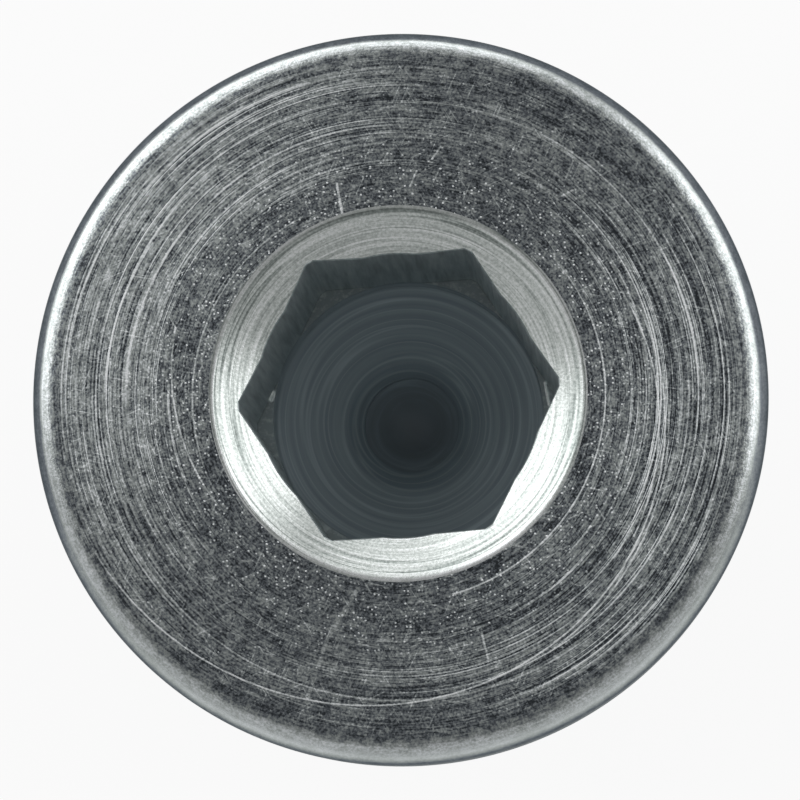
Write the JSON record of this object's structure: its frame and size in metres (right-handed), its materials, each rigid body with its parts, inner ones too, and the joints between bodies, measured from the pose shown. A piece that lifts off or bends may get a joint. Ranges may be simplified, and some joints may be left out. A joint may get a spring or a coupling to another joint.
{
  "type": "threaded plug",
  "caption": "Threaded screw plug with a round collar, a countersunk hexagon socket and an undercut below the collar.",
  "frame": {"origin": "centre of the threaded end face, on which the plug stands", "axes": "+Z along the plug's axis, from the threaded end to the collar's face; +X through two opposite corners of the hexagon"},
  "size_m": [0.032, 0.032, 0.02],
  "materials": {
    "zinc_plated_steel": "turned steel with bright zinc plating, fine ring marks and small scratches"
  },
  "bodies": {
    "root": {"screw_plug": "zinc_plated_steel"}
  },
  "joints": []
}
